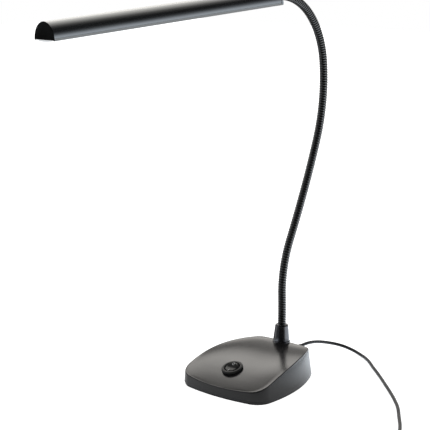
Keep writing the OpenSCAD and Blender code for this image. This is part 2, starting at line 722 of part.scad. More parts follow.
function coil_at(u) =
    let (
        n = floor(u / coil_layer + 0.0001),
        v = u - n * coil_layer,
        spiral = min(v, coil_in_turns) * coil_step,
        r = n % 2 == 0 ? coil_out_r - spiral : coil_in_r + spiral,
        z = coil_z + coil_step * (n + max(0, v - coil_in_turns) / coil_climb),
        a = coil_angle + 360 * u
    )
    [coil_centre[0] + r * cos(a), coil_centre[1] + r * sin(a), z];
function tangent(a) = [-sin(a), cos(a), 0];

coil_path = [for (i = [0 : coil_turns * loop_rings]) coil_at(i / loop_rings)];
// Least gap of the coil to itself, measured between points at least 0.6 of a turn apart
coil_gap = min([
    for (i = [0 : len(coil_path) - 1]) for (j = [i + round(0.6 * loop_rings) : 1 : len(coil_path) - 1])
        norm(coil_path[i] - coil_path[j])
]) - cord_d;
echo(coil_gap = coil_gap);

cord_path = smooth(concat(route, [coil_at(0)]), 2);
module power_cord() color("#1d1d1f") 
    tube(cord_path, cord_d / 2, 8, [0, cos(rear_lean), sin(rear_lean)], tangent(coil_angle));
module cord_coil() color("#1d1d1f")
    tube(coil_path, cord_d / 2, 6, tangent(coil_angle), tangent(coil_angle + 360 * coil_turns));

tail_dir = tangent(coil_angle + 360 * coil_turns);
tail_start = coil_at(coil_turns);
tail_len = 40;
supply_face = tail_start + tail_dir * tail_len;
tail_path = smooth([
    tail_start, tail_start + tail_dir * 13,
    tail_start + tail_dir * 26 + [0, 0, (supply_h / 2 - tail_start[2]) / 2],
    [supply_face[0], supply_face[1], supply_h / 2]
], 2);
module cord_tail() color("#1d1d1f") tube(tail_path, cord_d / 2, 8, tail_dir, tail_dir);

tie_w = 8;
tie_t = 0.8;
tie_angle = coil_angle + 180;
coil_height = 4 * coil_step;
module cord_tie() color("#2b2b2e") translate([coil_centre[0], coil_centre[1], 0]) rotate(tie_angle) {
    x0 = coil_in_r - cord_d / 2 - 1;
    x1 = coil_out_r + cord_d / 2 + 0.3;
    z0 = coil_lift - 0.2;
    z1 = coil_z + coil_height - coil_step + cord_d / 2 + 0.3;
    difference() {
        translate([x0 - tie_t, -tie_w / 2, z0 - tie_t])
            cube([x1 - x0 + 2 * tie_t, tie_w, z1 - z0 + 2 * tie_t]);
        translate([x0, -tie_w, z0]) cube([x1 - x0, 2 * tie_w, z1 - z0]);
    }
}

// ---- plug-in power supply: lies on its side, its cord end towards the coil ----

supply_relief_len = 20;
supply_wall = 2;
supply_split = 0.56;
supply_corner = 5;
pin_d = 4;
pin_len = 19;
pin_pitch = 18.6;
module at_supply() translate([supply_face[0], supply_face[1], 0])
    rotate(atan2(tail_dir[1], tail_dir[0])) translate([supply_relief_len, 0, 0]) children();
// The supply's plan, drawn in by inset
module supply_plan(inset) {
    c = supply_corner - inset;
    for (x = [supply_corner, supply_len - supply_corner]) for (y = [-1, 1])
        translate([x, y * (supply_w / 2 - supply_corner)]) circle(r = c);
    translate([supply_corner, -supply_w / 2 + inset])
        square([supply_len - 2 * supply_corner, supply_w - 2 * inset]);
    translate([inset, -supply_w / 2 + supply_corner])
        square([supply_len - 2 * inset, supply_w - 2 * supply_corner]);
}
supply_mid = supply_h * supply_split;

module supply_case() color("#18181a") at_supply() difference() {
    linear_extrude(supply_mid) supply_plan(0);
    translate([0, 0, supply_wall]) linear_extrude(supply_mid) supply_plan(supply_wall);
    supply_cuts();
}
module supply_lid() color("#18181a") at_supply() difference() {
    translate([0, 0, supply_mid]) linear_extrude(supply_h - supply_mid) supply_plan(0);
    translate([0, 0, supply_mid - 1]) linear_extrude(supply_h - supply_mid - supply_wall + 1)
        supply_plan(supply_wall);
    supply_cuts();
}
// The holes for the pins and the cord's relief
module supply_cuts() translate([0, 0, supply_h / 2]) rotate([0, 90, 0]) {
    translate([0, 0, -1]) cylinder(r = relief_r + relief_play, h = supply_wall + 2);
    for (side = [-1, 1]) translate([0, side * pin_pitch / 2, supply_len - supply_wall - 1])
        cylinder(d = pin_d + 0.2, h = supply_wall + 2);
}
module supply_board() color("#3f6b4a") at_supply() {
    translate([supply_wall + 3, -supply_w / 2 + supply_wall + 0.5, supply_wall])
        cube([supply_len - 2 * supply_wall - 8, supply_w - 2 * supply_wall - 1, 1.6]);
    translate([supply_len / 2 - 9, -9, supply_wall + 1.6]) cube([18, 18, supply_h / 2]);
}
module supply_pins() color("#c9c9cc") at_supply() for (side = [-1, 1])
    translate([supply_len - supply_wall - 3, side * pin_pitch / 2, supply_h / 2]) rotate([0, 90, 0]) {
        cylinder(d = pin_d, h = pin_len + supply_wall + 3 - 0.6);
        translate([0, 0, pin_len + supply_wall + 3 - 0.6]) cylinder(d1 = pin_d, d2 = pin_d - 1.2, h = 0.6);
        cylinder(d = pin_d + 2, h = 2.8);
    }
module supply_relief() color("#18181a") at_supply() translate([0, 0, supply_h / 2]) rotate([0, -90, 0]) {
    translate([0, 0, 0.1]) cylinder(r = relief_flange_r, h = 1.3);
    translate([0, 0, 0.1]) cylinder(r1 = relief_r + 0.6, r2 = cord_d / 2 + 0.5, h = supply_relief_len - 0.1);
    translate([0, 0, -supply_wall - 1.4]) cylinder(r = relief_flange_r, h = 1.3);
    translate([0, 0, -supply_wall - 0.2]) cylinder(r = relief_r, h = supply_wall + 0.4);
}

base_cover();
base_weight();
bottom_plate();
base_pad();
plate_screws();
weight_screws();
switch_housing();
switch_rocker();
switch_terminals();
neck_collar();
neck_foot_ferrule();
neck_washer();
neck_nut();
gooseneck_foot();
gooseneck_lower();
gooseneck_middle();
gooseneck_upper();
gooseneck_arch();
gooseneck_end();
neck_head_ferrule();
head_nut();
light_housing();
front_cap();
rear_cap();
led_board();
leds();
lens();
board_screws();
head_leads();
switch_leads();
cord_relief();
power_cord();
cord_coil();
cord_tail();
cord_tie();
supply_case();
supply_lid();
supply_board();
supply_pins();
supply_relief();
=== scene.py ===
"""Dresses the piano lamp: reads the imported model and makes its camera, pieces, materials and light.

Sizes and places are in millimetres; a piece is turned into metres when it is finished.
"""

import math

import bmesh
import bpy
from mathutils import Matrix, Vector


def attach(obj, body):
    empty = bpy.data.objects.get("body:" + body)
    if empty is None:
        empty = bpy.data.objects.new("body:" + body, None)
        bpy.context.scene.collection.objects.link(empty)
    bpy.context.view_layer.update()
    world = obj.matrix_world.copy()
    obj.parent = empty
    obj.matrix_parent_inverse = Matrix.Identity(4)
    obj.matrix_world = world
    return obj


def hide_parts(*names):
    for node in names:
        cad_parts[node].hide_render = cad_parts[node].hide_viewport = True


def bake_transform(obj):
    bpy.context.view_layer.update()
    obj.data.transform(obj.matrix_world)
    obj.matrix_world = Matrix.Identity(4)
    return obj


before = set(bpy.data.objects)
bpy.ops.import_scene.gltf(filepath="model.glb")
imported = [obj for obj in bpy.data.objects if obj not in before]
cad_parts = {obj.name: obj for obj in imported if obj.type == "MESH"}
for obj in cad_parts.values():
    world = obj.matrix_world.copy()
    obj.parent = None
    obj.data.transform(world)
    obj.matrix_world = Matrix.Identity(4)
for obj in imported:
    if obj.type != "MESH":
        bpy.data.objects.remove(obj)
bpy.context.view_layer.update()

# ---- Camera: in front of the lamp and to its right, a little above the light bar
camera_data = bpy.data.cameras.new("camera")
camera_data.sensor_width = 36
camera_data.lens = 114.64
camera_data.clip_end = 30
camera = bpy.data.objects.new("camera", camera_data)
camera.location = (0.87846, -1.09052, 0.48919)
camera.rotation_euler = (math.radians(90 - 12.30), 0, math.radians(40.49))
bpy.context.scene.collection.objects.link(camera)
bpy.context.scene.camera = camera

# ---- Base cover: the outside of the heavy base, one injection moulding in satin black ABS with a fine
# spark-eroded grain. Its walls flare out downwards, and its crowned top rolls off towards every edge.
# Screws from underneath hold it to the closing plate.
HALF_LENGTH = 60.75
FRONT_HEIGHT = 11.8
REAR_HEIGHT = 32.2
CROWN = 8.2
CROWN_SKEW = 1.3  # draws the crown's highest place forwards
FRONT_CORNER = 54.7  # from the middle out to the tips of the front and rear corners
REAR_CORNER = 36
FRONT_BOW = 6.8  # how far each side bows outwards
SIDE_BOW = 9.4
REAR_BOW = 0.8
FRONT_BEND = 11  # how far from its tip a corner starts to round
REAR_BEND = 6
FLARE = 2.6
COVER_FOOT = 3.3
RIM_ROUND = 1.1
DOME = 2.0
TOP_FRONT, TOP_REAR = -60.5, 59.5  # between them the dome rises over the rim
ROLL_OFF_FRONT, ROLL_OFF_REAR = 42, 24  # how far from its ends it is full
STRIPS = 28


def top_z(y):
    """The height of the top's rim at y: it rises to the rear, with a crown."""
    u = (y + HALF_LENGTH) / (2 * HALF_LENGTH)
    crown = 4 * u * (1 - u) * (CROWN + CROWN_SKEW * (1 - 2 * u))
    return FRONT_HEIGHT + (REAR_HEIGHT - FRONT_HEIGHT) * u + crown


def top_slope(y):
    """How steeply the top rises at y, in radians."""
    u = (y + HALF_LENGTH) / (2 * HALF_LENGTH)
    v = 1 - 2 * u
    crown = 4 * (v * (CROWN + CROWN_SKEW * v) - 2 * CROWN_SKEW * u * (1 - u))
    return math.atan((REAR_HEIGHT - FRONT_HEIGHT + crown) / (2 * HALF_LENGTH))


def lift(y, t=0.0):
    """How far the dome stands over the rim at y, t of the way from the middle to the rim."""
    front = 1 - max(0, 1 - (y - TOP_FRONT) / ROLL_OFF_FRONT) ** 2
    rear = 1 - max(0, 1 - (TOP_REAR - y) / ROLL_OFF_REAR) ** 2
    return DOME * max(0, front) * max(0, rear) * (1 - t ** 4)


def flare(y):
    """How far the top of the wall stands in from its foot at y: most at the high rear."""
    return FLARE * max(0, min(1, (top_z(y) - FRONT_HEIGHT) / (REAR_HEIGHT - FRONT_HEIGHT)))


def bowed_side(a, b, bow, t0, t1, steps):
    """Points of the side from a to b, which bows outwards, between t0 and t1 of its way."""
    side = b - a
    out = Vector((side.y, -side.x)).normalized()
    ways = [t0 + (t1 - t0) * i / steps for i in range(steps + 1)]
    return [a + side * t + out * 4 * bow * t * (1 - t) for t in ways]


def soft_corner(a, tip, b, steps):
    """The points between a and b of a corner that rounds towards its tip."""
    pull = tip.lerp((a + b) / 2, 0.2)
    ways = [i / steps for i in range(1, steps)]
    return [a * (1 - t) ** 2 + pull * 2 * t * (1 - t) + b * t * t for t in ways]


def outline(inset):
    """The base's outline drawn in by inset, from the middle of its front round by the right."""
    front_x, rear_x = FRONT_CORNER - inset, REAR_CORNER - inset
    front_y, rear_y = FRONT_BOW + inset - HALF_LENGTH, HALF_LENGTH - REAR_BOW - inset
    front_tip, rear_tip = Vector((front_x, front_y)), Vector((rear_x, rear_y))
    length = (rear_tip - front_tip).length
    front_end, rear_start = 1 - FRONT_BEND / (2 * front_x), REAR_BEND / (2 * rear_x)
    front = bowed_side(Vector((-front_x, front_y)), front_tip, FRONT_BOW, 0.5, front_end, 18)
    side = bowed_side(front_tip, rear_tip, SIDE_BOW, FRONT_BEND / length, 1 - REAR_BEND / length, 44)
    rear = bowed_side(rear_tip, Vector((-rear_x, rear_y)), REAR_BOW, rear_start, 0.5, 14)
    half = front + soft_corner(front[-1], front_tip, side[0], 14) + side
    half += soft_corner(side[-1], rear_tip, rear[0], 12) + rear
    return half + [Vector((-p.x, p.y)) for p in half[-2:0:-1]]


def cover_ring(level):
    """A ring of the cover; level gives the ring's inset and its height at each y."""
    ring = []
    for outer, deep in zip(outline(0), outline(10)):
        inset, z = level(outer.y)
        p = outer.lerp(deep, inset / 10)
        ring.append(Vector((p.x, p.y, z)))
    return ring


def foot_level(inset, up):
    """A level in the rounded foot, the same all round."""
    return lambda y: (inset, COVER_FOOT + up)


def wall_level(f):
    """A level in the wall, f of the way from the foot to the rounded rim."""
    return lambda y: (flare(y) * f, COVER_FOOT + (top_z(y) - RIM_ROUND - COVER_FOOT) * f)


def rim_level(angle):
    """A level in the rounded rim, angle degrees from where it leaves the wall."""
    s, c = math.sin(math.radians(angle)), math.cos(math.radians(angle))
    return lambda y: (flare(y) + RIM_ROUND * (1 - c), top_z(y) - RIM_ROUND * (1 - s))


def rolled(rings, open_ends=False):
    """A sheet rolled into a skin over rings of points, its seam joined and its ends filled."""
    bm = bmesh.new()
    sides = len(rings[0])
    bmesh.ops.create_grid(bm, x_segments=sides, y_segments=len(rings) - 1, size=1)
    for i, v in enumerate(bm.verts):
        v.co = rings[i // (sides + 1)][i % (sides + 1) % sides]
    bmesh.ops.remove_doubles(bm, verts=bm.verts, dist=0.0001)
    if not open_ends:
        bmesh.ops.holes_fill(bm, edges=bm.edges)
    return bm


def finished(name, bm, sharp=35, place=Matrix()):
    """Makes a bmesh a piece at its place, facing outwards, with edges over sharp degrees left sharp."""
    bmesh.ops.transform(bm, matrix=Matrix.Scale(0.001, 4) @ place, verts=bm.verts)
    bmesh.ops.remove_doubles(bm, verts=bm.verts, dist=1e-7)
    bmesh.ops.recalc_face_normals(bm, faces=bm.faces)
    for edge in bm.edges:
        edge.smooth = len(edge.link_faces) == 2 and edge.calc_face_angle(0) < math.radians(sharp)
    for face in bm.faces:
        face.smooth = True
    mesh = bpy.data.meshes.new(name)
    bm.to_mesh(mesh)
    bm.free()
    obj = bpy.data.objects.new(name, mesh)
    bpy.context.scene.collection.objects.link(obj)
    return obj


def wired(tree, kind, sockets):
    """A new shader node with its sockets set to numbers, colours or other nodes' outputs."""
    node = tree.nodes.new(kind)
    for key, value in sockets.items():
        if isinstance(value, bpy.types.NodeSocket):
            tree.links.new(value, node.inputs[key])
        else:
            node.inputs[key].default_value = value
    return node


def material(name, color, rough, metal=0.0, spec=0.5, grain=0.0, scale=900.0, vary=0.05, dent=0.00002,
             streak=None):
    """A finish with a fine grain, and with roughness and colour that vary a little over the piece.

    Grain is the fine bumps' strength, scale how fine they are and dent how deep. Streak draws both
    the grain and the cloudiness out along an axis.
    """
    made = bpy.data.materials.new(name)
    made.use_nodes = True
    tree = made.node_tree
    shader = tree.nodes["Principled BSDF"]
    shader.inputs["Metallic"].default_value = metal
    shader.inputs["Specular IOR Level"].default_value = spec
    where = tree.nodes.new("ShaderNodeTexCoord").outputs["Object"]
    if streak:
        where = wired(tree, "ShaderNodeMapping", {"Vector": where, "Scale": streak}).outputs["Vector"]
    cloud = wired(tree, "ShaderNodeTexNoise", {"Vector": where, "Scale": 38, "Detail": 6}).outputs["Fac"]
    tone = tree.nodes.new("ShaderNodeMix")
    tone.data_type = "RGBA"
    tone.inputs[6].default_value = (*color, 1)
    tone.inputs[7].default_value = (*(min(1, c * (1 + 3 * vary) + 0.002) for c in color), 1)
    tree.links.new(cloud, tone.inputs["Factor"])
    tree.links.new(tone.outputs[2], shader.inputs["Base Color"])
    wear = wired(tree, "ShaderNodeMapRange", {
        "Value": cloud, "From Min": 0.3, "From Max": 0.7,
        "To Min": max(0.02, rough * (1 - 1.5 * vary)), "To Max": min(1, rough * (1 + 1.5 * vary))})
    tree.links.new(wear.outputs["Result"], shader.inputs["Roughness"])
    if grain:
        fine = wired(tree, "ShaderNodeTexNoise", {"Vector": where, "Scale": scale, "Detail": 3})
        bump = wired(tree, "ShaderNodeBump", {
            "Height": fine.outputs["Fac"], "Strength": grain, "Distance": dent})
        tree.links.new(bump.outputs["Normal"], shader.inputs["Normal"])
    return made


def dress(obj, finish):
    """Puts one material on every face of an object."""
    obj.data.materials.clear()
    obj.data.materials.append(finish)


def part(obj, body, slot, finish, *nodes):
    """Gives a piece its body and its finish, and hides the CAD nodes that it stands for. Slot is not used."""
    dress(obj, finish)
    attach(obj, body)
    if nodes:
        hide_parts(*nodes)


cover_rings = [cover_ring(foot_level(inset, up))
               for inset, up in ((1.2, 0.05), (0.45, 0.05), (0.12, 0.14), (0.0, 0.45))]
cover_rings += [cover_ring(wall_level(f)) for f in (0.15, 0.35, 0.55, 0.75, 0.9, 1.0)]
cover_rings += [cover_ring(rim_level(angle)) for angle in (18, 36, 54, 72, 90)]
shell = rolled(cover_rings, open_ends=True)
# the top: a face over the rim, cut into strips from side to side and lifted to its dome
rim_edges = [e for e in shell.edges if e.is_boundary and e.verts[0].co.z > FRONT_HEIGHT - RIM_ROUND]
rim = bmesh.ops.edgeloop_fill(shell, edges=rim_edges)["faces"][0].verts[:]
right_rim = [(v.co.x, v.co.y) for v in rim if v.co.x > 0.01]
across = []
for x, y in right_rim:
    pair = [min(rim, key=lambda v: (v.co.x - side * x) ** 2 + (v.co.y - y) ** 2) for side in (1, -1)]
    across += bmesh.ops.connect_verts(shell, verts=pair)["edges"]
cut = bmesh.ops.subdivide_edges(shell, edges=across, cuts=STRIPS - 1)["geom_inner"]
for v in [g for g in cut if isinstance(g, bmesh.types.BMVert)]:
    rim_x, _ = min(right_rim, key=lambda place: abs(place[1] - v.co.y))
    v.co.z += lift(v.co.y, v.co.x / rim_x)
cover = finished("base_shell", shell, 40)
cover_black = material("cover_black", (0.005, 0.005, 0.0052), 0.22, grain=0.4, scale=1500, vary=0.06,
                       dent=0.000006)
part(cover, "base", "cover_black", cover_black, "base_cover")

# ---- Closing plate and foot pad: a laser-cut steel sheet, powder-coated black, screwed in under the
# cover a hair inside its walls, and a die-cut sheet of black foam glued under it so that it doesn't slip.
PLATE_FROM, PLATE_TO = 1.5, 3.2


def drawn(name, sections, way, sharp=40, rim=0.0, place=Matrix()):
    """Closed outlines of points, each drawn out along a way, with their rims rounded."""
    bm = bmesh.new()
    for section in sections:
        start = bm.faces.new([bm.verts.new(p) for p in section])
        grown = bmesh.ops.extrude_face_region(bm, geom=[start])["geom"]
        bmesh.ops.translate(bm, vec=way, verts=[g for g in grown if isinstance(g, bmesh.types.BMVert)])
    if rim:
        ends = {edge for face in bm.faces if len(face.verts) > 4 for edge in face.edges}
        bmesh.ops.bevel(bm, geom=list(ends), offset=rim, offset_type="OFFSET", segments=2, profile=0.5,
                        affect="EDGES", clamp_overlap=True, material=-1)
    return finished(name, bm, sharp, place)


def base_sheet(name, inset, z0, z1, rim):
    """A flat sheet of the base's outline, drawn in by inset."""
    return drawn(name, [[(p.x, p.y, z0) for p in outline(inset)]], (0, 0, z1 - z0), rim=rim)


plate = base_sheet("closing_plate", 0.5, PLATE_FROM, PLATE_TO, 0.15)
plate_black = material("plate_black", (0.005, 0.005, 0.006), 0.3, grain=0.3, scale=700, vary=0.1)
part(plate, "base", "zinc_steel", plate_black, "bottom_plate")
pad = base_sheet("foot_pad", 1.2, 0.0, PLATE_FROM, 0.25)
foam_black = material("foam_black", (0.02, 0.02, 0.021), 0.9, spec=0.2, grain=1.0, scale=2200, vary=0.2,
                      dent=0.00008)
part(pad, "base", "foam_pad", foam_black, "base_pad")

# ---- Weight and base screws: a block of raw cast iron that keeps the lamp standing, and zinc-plated
# countersunk screws from under the plate, two into the weight and four into the cover. They keep the
# shapes of their solids.
iron = material("iron", (0.05, 0.05, 0.052), 0.7, metal=0.3, grain=0.9, scale=500, vary=0.2, dent=0.0002)
dress(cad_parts["base_weight"], iron)
steel = material("steel", (0.62, 0.63, 0.65), 0.25, metal=1.0, grain=0.2, scale=700, vary=0.15)
for name in ("plate_screws", "weight_screws"):
    dress(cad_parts[name], steel)

# ---- Switch body: a round snap-in switch, moulded in black nylon, pressed into the cover from above.
# Its bezel is a rolled ring on the cover, and two brass tabs under it take the wires.
SWITCH_Y = -33.5
BEZEL_TOP = 2.2
switch_place = Matrix.Translation((0, SWITCH_Y, top_z(SWITCH_Y))) @ Matrix.Rotation(
    top_slope(SWITCH_Y), 4, "X")


def arc(cx, cy, r, a0, a1, steps=6):
    """Points on an arc of a profile, angles in degrees."""
    angles = [math.radians(a0 + (a1 - a0) * i / steps) for i in range(steps + 1)]
    return [(cx + r * math.cos(a), cy + r * math.sin(a)) for a in angles]


def turned(name, profile, steps, place, sharp=45):
    """A turned piece: a closed profile of (radius, height) spun round its Z axis."""
    bm = bmesh.new()
    verts = [bm.verts.new((r, 0, z)) for r, z in profile]
    edges = [bm.edges.new(pair) for pair in zip(verts, verts[1:] + verts[:1])]
    bmesh.ops.spin(bm, geom=verts + edges, cent=(0, 0, 0), axis=(0, 0, 1), angle=math.tau, steps=steps,
                   use_merge=True)
    return finished(name, bm, sharp, place)


bezel_profile = [(9.9, -9.5), (9.9, 0.02), (11.3, 0.02), (11.5, 0.12), (11.5, 0.7)]
bezel_profile += arc(10.2, 0.9, 1.3, 0, 90, 8) + [(9.2, BEZEL_TOP)] + arc(9.0, 1.6, 0.6, 100, 180, 5)
bezel_profile += [(8.5, 0.9), (9.0, 0.2), (9.0, -7.7), (6, -7.7), (6, -9.5)]
bezel = turned("switch_bezel", bezel_profile, 96, Matrix.Translation((0, 0, lift(SWITCH_Y))) @ switch_place)
bezel_black = material("bezel_black", (0.008, 0.008, 0.008), 0.42, spec=0.22, grain=0.4, scale=1300,
                       vary=0.1, dent=0.00002)
part(bezel, "base", "switch_black", bezel_black, "switch_housing")
brass = material("brass", (0.62, 0.48, 0.2), 0.3, metal=1.0, grain=0.2, scale=900, vary=0.15)
dress(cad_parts["switch_terminals"], brass)
wire_black = material("wire_black", (0.02, 0.02, 0.021), 0.5, grain=0.2, scale=1200, vary=0.1)
dress(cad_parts["switch_leads"], wire_black)

# ---- Rocker: glossy black nylon, moulded with its two trunnions and snapped into the switch body.
# Its walls are part of a ball, and its face is two flats that meet in a soft valley, with the rear one
# up. A ring and a bar are hot-stamped on the flats in light grey.
BALL_R = 8.75
AXIS_DROP = 0.5  # the ball's middle lies under the cover's surface
TILT = math.radians(10)
ROCKER_FOOT = -5.3
FACE_OVER_BEZEL = 0.3
FACE_ROUND = 1.4
BALL_END = 1.5  # how far under the face's rim the ball ends
VALLEY = 0.8
VALLEY_DEPTH = 0.35
MARK_Y = 4.7
face_middle = (BEZEL_TOP + FACE_OVER_BEZEL + AXIS_DROP) / math.cos(TILT) + 0.75 * lift(SWITCH_Y)
rocker_place = switch_place @ Matrix.Translation((0, 0, -AXIS_DROP)) @ Matrix.Rotation(TILT, 4, "X")


def face_z(y):
    """The height of the rocker's face at y."""
    return face_middle + math.tan(TILT) * (math.sqrt(y * y + VALLEY) - VALLEY_DEPTH)


def ball_meets_face(turn):
    """The radius and the height at which the face meets the ball, at a turn round the axis."""
    z = face_z(0)
    for _ in range(30):
        r = math.sqrt(max(0.1, BALL_R ** 2 - z * z))
        z = face_z(r * math.sin(turn))
    return r, z


def on_face(turn, radius, down=0.0):
    """A point of the rocker's face at a turn and a radius, or so far down under it."""
    x, y = radius * math.cos(turn), radius * math.sin(turn)
    return Vector((x, y, face_z(y) - down))


rocker_rim = [(turn, *ball_meets_face(turn)) for turn in (math.tau * i / 96 for i in range(96))]
rocker_rings = []
for f in (0.0, 0.25, 0.5, 0.75, 1.0):
    ring = []
    for turn, _, z in rocker_rim:
        z = ROCKER_FOOT + (z - BALL_END - ROCKER_FOOT) * f
        r = math.sqrt(BALL_R ** 2 - z * z)
        ring.append(Vector((r * math.cos(turn), r * math.sin(turn), z)))
    rocker_rings.append(ring)
for angle in (10, 25, 40, 55, 70, 82, 90):
    back = FACE_ROUND * (1 - math.cos(math.radians(angle)))
    down = FACE_ROUND * (1 - math.sin(math.radians(angle)))
    rocker_rings.append([on_face(turn, r - back, down) for turn, r, _ in rocker_rim])
for f in (0.85, 0.68, 0.5, 0.33, 0.16):
    rocker_rings.append([on_face(turn, (r - FACE_ROUND) * f) for turn, r, _ in rocker_rim])
rocker = finished("rocker_key", rolled(rocker_rings), 50, rocker_place)
gloss_black = material("gloss_black", (0.006, 0.006, 0.006), 0.2, spec=0.12, grain=0.15, scale=900,
                       vary=0.1, dent=0.00001)
part(rocker, "rocker", "switch_black", gloss_black, "switch_rocker")


def mark_place(y):
    """Where a mark lies on the rocker's face, with its middle at y."""
    slope = math.atan(math.tan(TILT) * y / math.sqrt(y * y + VALLEY))
    return rocker_place @ Matrix.Translation((0, y, face_z(y))) @ Matrix.Rotation(slope, 4, "X")


mark_grey = material("mark_grey", (0.28, 0.28, 0.28), 0.5, vary=0.1)
ring_profile = [(1.05, -0.05), (1.55, -0.05), (1.55, 0.03), (1.05, 0.03)]
ring_mark = turned("mark_off", ring_profile, 32, mark_place(MARK_Y))
part(ring_mark, "rocker", "switch_black", mark_grey)
bar_profile = [(-0.3, -1.5, -0.05), (0.3, -1.5, -0.05), (0.3, 1.5, -0.05), (-0.3, 1.5, -0.05)]
bar_mark = drawn("mark_on", [bar_profile], (0, 0, 0.08), place=mark_place(-MARK_Y))
part(bar_mark, "rocker", "switch_black", mark_grey)

# ---- Collar: a steel cone with a thin flange, turned and painted gloss black, that slides down the
# gooseneck and hides its foot. Under it a threaded steel end goes through the cover, and a washer and
# a nut clamp it there.
NECK_Y = 50.3
FLANGE_TOP, CONE_TOP = 1.9, 17.6
FLANGE_R, TOP_R = 8.95, 7.25
neck_place = Matrix.Translation((0, NECK_Y, top_z(NECK_Y) + lift(NECK_Y))) @ Matrix.Rotation(
    top_slope(NECK_Y), 4, "X")
collar_profile = [(4.6, 0), (9.6, 0), (9.75, 0.12), (9.75, 0.8), (9.6, 1.15), (9.3, 1.35), (9.1, 1.5)]
collar_profile += [(FLANGE_R + (TOP_R - FLANGE_R) * f, FLANGE_TOP + (CONE_TOP - FLANGE_TOP) * f)
                   for f in (0, 0.25, 0.5, 0.75, 1.0)]
collar_profile += arc(5.25, 17.8, 2.0, 6, 88, 8) + [(4.55, 19.4), (4.55, 6), (4.6, 6)]
collar = turned("collar", collar_profile, 96, neck_place)
collar_black = material("collar_black", (0.08, 0.08, 0.084), 0.17, metal=1.0, grain=0.12, scale=500,
                        vary=0.1, dent=0.00001)
part(collar, "base", "collar_black", collar_black, "neck_collar")
for name in ("neck_foot_ferrule", "neck_washer", "neck_nut"):
    dress(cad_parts[name], steel)

# ---- Gooseneck: a tube wound from steel, with a rounded rib to each turn, painted satin black and pressed
# into a threaded end at each end. It bends anywhere and stays. Each skin runs from the middle of one
# CAD length to the middle of the next, over the joint between them.
NECK_R = 4.5
RIB_DEPTH = 1.0
RIB_PITCH = 2.75
RIB_STEPS = 9
NECK_SIDES = 28
NECK_LENGTH = 438
NECK_LEAN = 1.89055
BEND_REACH = 26  # a length to each side of a joint, at which points on the middle line are worked out
# the middle line's arcs, as (length, degrees turned towards the rear)
bends = [(20.5, 0), (32, -4.3), (63, 29.1), (54.5, -2.5), (60, -4.1), (84, -26.4), (52, -32.9),
         (72, -53.6406)]


def along_arc(start, length, turn):
    """The end of an arc that leaves start, a point and its angle from straight up, with its angle."""
    p, a = start
    b = a + turn
    if abs(turn) < 1e-9:
        return p + length * Vector((0, math.sin(a), math.cos(a))), b
    r = length / turn
    return p + r * Vector((0, math.cos(a) - math.cos(b), math.sin(b) - math.sin(a))), b


def neck_at(s):
    """The gooseneck's middle line at length s: a point, and its angle from straight up in radians."""
    at = Vector((0, NECK_Y, top_z(NECK_Y))), math.radians(NECK_LEAN)
    for length, turn in bends[:-1]:
        if s <= length:
            return along_arc(at, s, math.radians(turn * s / length))
        at = along_arc(at, length, math.radians(turn))
        s -= length
    length, turn = bends[-1]
    return along_arc(at, s, math.radians(turn * s / length))


def neck_ring(s):
    """A ring of the ribbed tube at length s; the ribs run round the tube as one screw."""
    p, a = neck_at(s)
    aft = Vector((0, math.cos(a), -math.sin(a)))
    ring = []
    for k in range(NECK_SIDES):
        turn = math.tau * k / NECK_SIDES
        on_rib = ((s / RIB_PITCH + k / NECK_SIDES) % 1.0) * 2 - 1
        r = NECK_R - RIB_DEPTH * (1 - math.sqrt(max(0.0, 1 - on_rib * on_rib)))
        ring.append(p + r * (Vector((1, 0, 0)) * math.cos(turn) + aft * math.sin(turn)))
    return ring


def neck_skin(name, s0, s1):
    """A length of the ribbed tube from s0 to s1."""
    count = round((s1 - s0) / RIB_PITCH * RIB_STEPS)
    return finished(name, rolled([neck_ring(s0 + (s1 - s0) * i / count) for i in range(count + 1)]), 60)


neck_black = material("neck_black", (0.08, 0.08, 0.08), 0.2, metal=1.0, grain=0.2, scale=1500, vary=0.15,
                      dent=0.00001)
joints = [62, 130, 198, 266, 334]
cuts = [6.2, 96, 164, 232, 300, NECK_LENGTH]
lengths = [["gooseneck_foot"], ["gooseneck_lower"], ["gooseneck_middle"], ["gooseneck_upper"],
           ["gooseneck_arch", "gooseneck_end"]]
for i, joint in enumerate(joints):
    skin = neck_skin(f"gooseneck_skin_{i + 1}", cuts[i], cuts[i + 1])
    dress(skin, neck_black)
    near, _ = neck_at(joint - BEND_REACH)
    far, _ = neck_at(joint + BEND_REACH)
    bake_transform(skin)
    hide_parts(*lengths[i])

# ---- Light bar housing: an aluminium extrusion of half-elliptic section, anodised dark grey-black and
# satin, with a fine groove over each lower edge and a shelf inside that carries the LED board. It hangs
# from the gooseneck's end.
BAR_TILT = math.radians(2.85)
BAR_DROP = 0.5
HALF_WIDTH = 12.5
BAR_HEIGHT = 16.0
BOTTOM = -7.0
WALL = 1.3
GROOVE = 0.5
GROOVE_TOP = 2.5
tip, _ = neck_at(NECK_LENGTH)
bar_place = Matrix.Translation(tip - Vector((0, 0, BAR_DROP))) @ Matrix.Rotation(BAR_TILT, 4, "X")


def half_ellipse(width, height, start=0.0, steps=40):
    """Points (x, z) over the bar's bottom, from the right to the left, from start radians up."""
    angles = [start + (math.pi - 2 * start) * i / steps for i in range(steps + 1)]
    return [(width * math.cos(a), BOTTOM + height * math.sin(a)) for a in angles]


def drawn_in_bar(name, lines, start, end, sharp=40):
    """Closed outlines of (x, z), drawn forwards in the bar from start to end, lengths from its rear."""
    sections = [[(x, -start, z) for x, z in line] for line in lines]
    return drawn(name, sections, (0, start - end, 0), sharp, place=bar_place)


